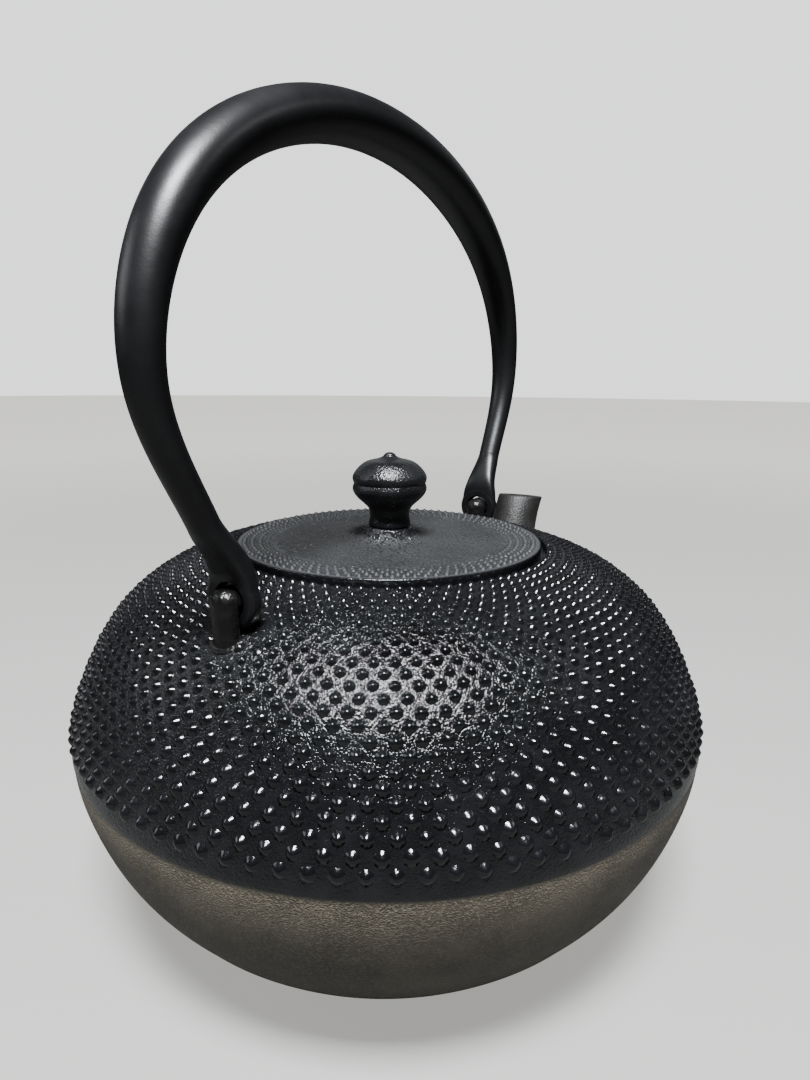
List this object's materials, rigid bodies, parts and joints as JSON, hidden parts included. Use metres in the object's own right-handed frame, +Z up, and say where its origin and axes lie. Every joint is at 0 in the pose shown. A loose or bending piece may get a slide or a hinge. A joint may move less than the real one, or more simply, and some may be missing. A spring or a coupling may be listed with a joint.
{
  "type": "cast iron kettle",
  "caption": "Round cast iron kettle with a studded shoulder, short spout, lift-off lid with a knob, and a tall hollow bail handle that swings.",
  "frame": {"origin": "centre of the flat base that the kettle stands on", "axes": "+Z up, +X from the kettle's axis to the spout, so the bail at rest lies in the XZ plane"},
  "size_m": [0.2293, 0.1988, 0.2405],
  "materials": {
    "cast_iron_body": "black lacquer over cast iron, glossy on the shoulder, bare matte skin on the bowl",
    "cast_iron_lid": "black lacquer over fine grained casting skin",
    "cast_iron_knob": "glossy black lacquer over a fine pebbled skin",
    "brass_washer": "dull",
    "black_iron_handle": "smooth satin black, forged and bent sheet iron"
  },
  "bodies": {
    "kettle": {"kettle_bowl": "cast_iron_body", "kettle_shoulder": "cast_iron_body", "kettle_spout": "cast_iron_body"},
    "lid": {"lid": "cast_iron_lid"},
    "knob": {"lid_knob": "cast_iron_knob", "knob_washer": "brass_washer"},
    "handle": {"handle_tube": "black_iron_handle", "handle_eye_spout_side": "black_iron_handle", "handle_eye_back_side": "black_iron_handle"}
  },
  "joints": [
    {"name": "handle_swing", "type": "hinge", "parent": "kettle", "child": "handle", "pos_m": [0.0715, 0, 0.1147], "axis": [1, 0, 0], "range_deg": [-90, 90]},
    {"name": "lid_lift", "type": "slide", "parent": "kettle", "child": "lid", "axis": [0, 0, 1], "range_m": [0, 0.07]},
    {"name": "knob_turn", "type": "hinge", "parent": "lid", "child": "knob", "pos_m": [0, 0, 0.125], "axis": [0, 0, 1], "continuous": true}
  ]
}
